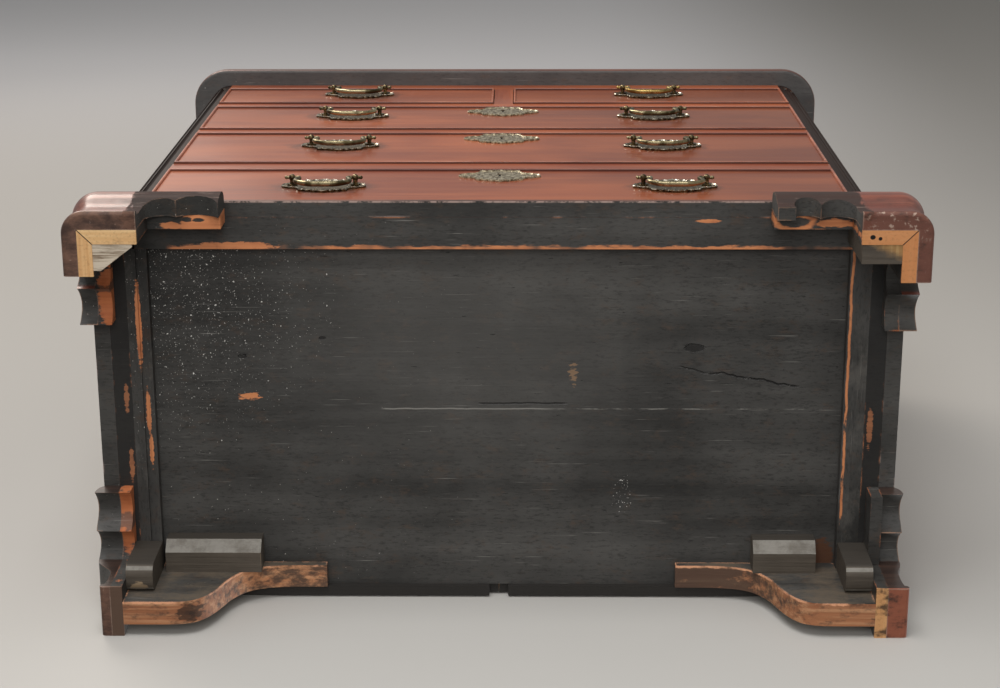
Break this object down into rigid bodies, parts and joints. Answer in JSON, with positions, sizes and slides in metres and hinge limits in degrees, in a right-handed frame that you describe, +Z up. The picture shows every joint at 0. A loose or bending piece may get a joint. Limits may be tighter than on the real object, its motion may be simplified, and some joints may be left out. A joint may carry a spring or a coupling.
{
  "type": "chest of drawers",
  "caption": "Antique mahogany chest of drawers with short drawers over long ones, fluted quarter columns, a moulded base, ogee bracket feet and swinging brass bails.",
  "frame": {"origin": "on the floor, under the middle of the overall box", "axes": "+Z up with the chest standing, -Y out of the drawer fronts, +X to the right as seen from the front"},
  "size_m": [0.917, 0.4876, 0.911],
  "materials": {
    "case_mahogany": "old polished mahogany, dark",
    "drawer_mahogany": "polished mahogany",
    "pine": "bare or black-stained softwood",
    "brass": "dark old brass",
    "iron": "dark wrought iron"
  },
  "bodies": {
    "carcase": {"back_boards": "pine", "base_moulding": "case_mahogany", "bottom_bearers": "pine", "bottom_board": "pine", "centre_stile": "case_mahogany", "corner_posts": "pine", "drawer_guides": "pine", "drawer_rails": "case_mahogany", "drawer_runners": "pine", "drawer_stops": "pine", "dust_boards": "pine", "foot_liners": "pine", "glue_blocks": "pine", "left_front_foot": "case_mahogany", "left_rear_foot_facing": "case_mahogany", "left_side": "case_mahogany", "quarter_columns": "case_mahogany", "rear_brackets": "pine", "right_front_foot": "case_mahogany", "right_rear_foot_facing": "case_mahogany", "right_side": "case_mahogany", "top_board": "case_mahogany"},
    "left_short_drawer": {"left_short_front": "drawer_mahogany", "left_short_box": "pine", "left_short_beads": "drawer_mahogany", "left_short_pull_mounts": "brass"},
    "left_short_bail": {"left_short_bail": "brass"},
    "right_short_drawer": {"right_short_front": "drawer_mahogany", "right_short_box": "pine", "right_short_beads": "drawer_mahogany", "right_short_pull_mounts": "brass"},
    "right_short_bail": {"right_short_bail": "brass"},
    "upper_long_drawer": {"upper_long_front": "drawer_mahogany", "upper_long_box": "pine", "upper_long_beads": "drawer_mahogany", "upper_long_pull_mounts": "brass", "upper_long_escutcheon": "brass", "upper_long_lock": "iron"},
    "upper_long_left_bail": {"upper_long_left_bail": "brass"},
    "upper_long_right_bail": {"upper_long_right_bail": "brass"},
    "upper_long_bolt": {"upper_long_bolt": "iron"},
    "middle_long_drawer": {"middle_long_front": "drawer_mahogany", "middle_long_box": "pine", "middle_long_beads": "drawer_mahogany", "middle_long_pull_mounts": "brass", "middle_long_escutcheon": "brass", "middle_long_lock": "iron"},
    "middle_long_left_bail": {"middle_long_left_bail": "brass"},
    "middle_long_right_bail": {"middle_long_right_bail": "brass"},
    "middle_long_bolt": {"middle_long_bolt": "iron"},
    "lower_long_drawer": {"lower_long_front": "drawer_mahogany", "lower_long_box": "pine", "lower_long_beads": "drawer_mahogany", "lower_long_pull_mounts": "brass", "lower_long_escutcheon": "brass", "lower_long_lock": "iron"},
    "lower_long_left_bail": {"lower_long_left_bail": "brass"},
    "lower_long_right_bail": {"lower_long_right_bail": "brass"},
    "lower_long_bolt": {"lower_long_bolt": "iron"}
  },
  "joints": [
    {"name": "left_short_slide", "type": "slide", "parent": "carcase", "child": "left_short_drawer", "axis": [0, -1, 0], "range_m": [0, 0.33]},
    {"name": "left_short_bail_hinge", "type": "hinge", "parent": "left_short_drawer", "child": "left_short_bail", "pos_m": [-0.2055, -0.22175, 0.8178], "axis": [-1, 0, 0], "range_deg": [-7, 185]},
    {"name": "right_short_slide", "type": "slide", "parent": "carcase", "child": "right_short_drawer", "axis": [0, -1, 0], "range_m": [0, 0.33]},
    {"name": "right_short_bail_hinge", "type": "hinge", "parent": "right_short_drawer", "child": "right_short_bail", "pos_m": [0.2055, -0.22175, 0.8178], "axis": [-1, 0, 0], "range_deg": [-7, 185]},
    {"name": "upper_long_slide", "type": "slide", "parent": "carcase", "child": "upper_long_drawer", "axis": [0, -1, 0], "range_m": [0, 0.33]},
    {"name": "upper_long_left_bail_hinge", "type": "hinge", "parent": "upper_long_drawer", "child": "upper_long_left_bail", "pos_m": [-0.203, -0.22175, 0.6603], "axis": [-1, 0, 0], "range_deg": [-7, 185]},
    {"name": "upper_long_right_bail_hinge", "type": "hinge", "parent": "upper_long_drawer", "child": "upper_long_right_bail", "pos_m": [0.203, -0.22175, 0.6603], "axis": [-1, 0, 0], "range_deg": [-7, 185]},
    {"name": "upper_long_bolt_slide", "type": "slide", "parent": "upper_long_drawer", "child": "upper_long_bolt", "axis": [0, 0, 1], "range_m": [0, 0.008]},
    {"name": "middle_long_slide", "type": "slide", "parent": "carcase", "child": "middle_long_drawer", "axis": [0, -1, 0], "range_m": [0, 0.33]},
    {"name": "middle_long_left_bail_hinge", "type": "hinge", "parent": "middle_long_drawer", "child": "middle_long_left_bail", "pos_m": [-0.203, -0.22175, 0.4683], "axis": [-1, 0, 0], "range_deg": [-7, 185]},
    {"name": "middle_long_right_bail_hinge", "type": "hinge", "parent": "middle_long_drawer", "child": "middle_long_right_bail", "pos_m": [0.203, -0.22175, 0.4683], "axis": [-1, 0, 0], "range_deg": [-7, 185]},
    {"name": "middle_long_bolt_slide", "type": "slide", "parent": "middle_long_drawer", "child": "middle_long_bolt", "axis": [0, 0, 1], "range_m": [0, 0.008]},
    {"name": "lower_long_slide", "type": "slide", "parent": "carcase", "child": "lower_long_drawer", "axis": [0, -1, 0], "range_m": [0, 0.33]},
    {"name": "lower_long_left_bail_hinge", "type": "hinge", "parent": "lower_long_drawer", "child": "lower_long_left_bail", "pos_m": [-0.203, -0.22175, 0.2443], "axis": [-1, 0, 0], "range_deg": [-7, 185]},
    {"name": "lower_long_right_bail_hinge", "type": "hinge", "parent": "lower_long_drawer", "child": "lower_long_right_bail", "pos_m": [0.203, -0.22175, 0.2443], "axis": [-1, 0, 0], "range_deg": [-7, 185]},
    {"name": "lower_long_bolt_slide", "type": "slide", "parent": "lower_long_drawer", "child": "lower_long_bolt", "axis": [0, 0, 1], "range_m": [0, 0.008]}
  ]
}
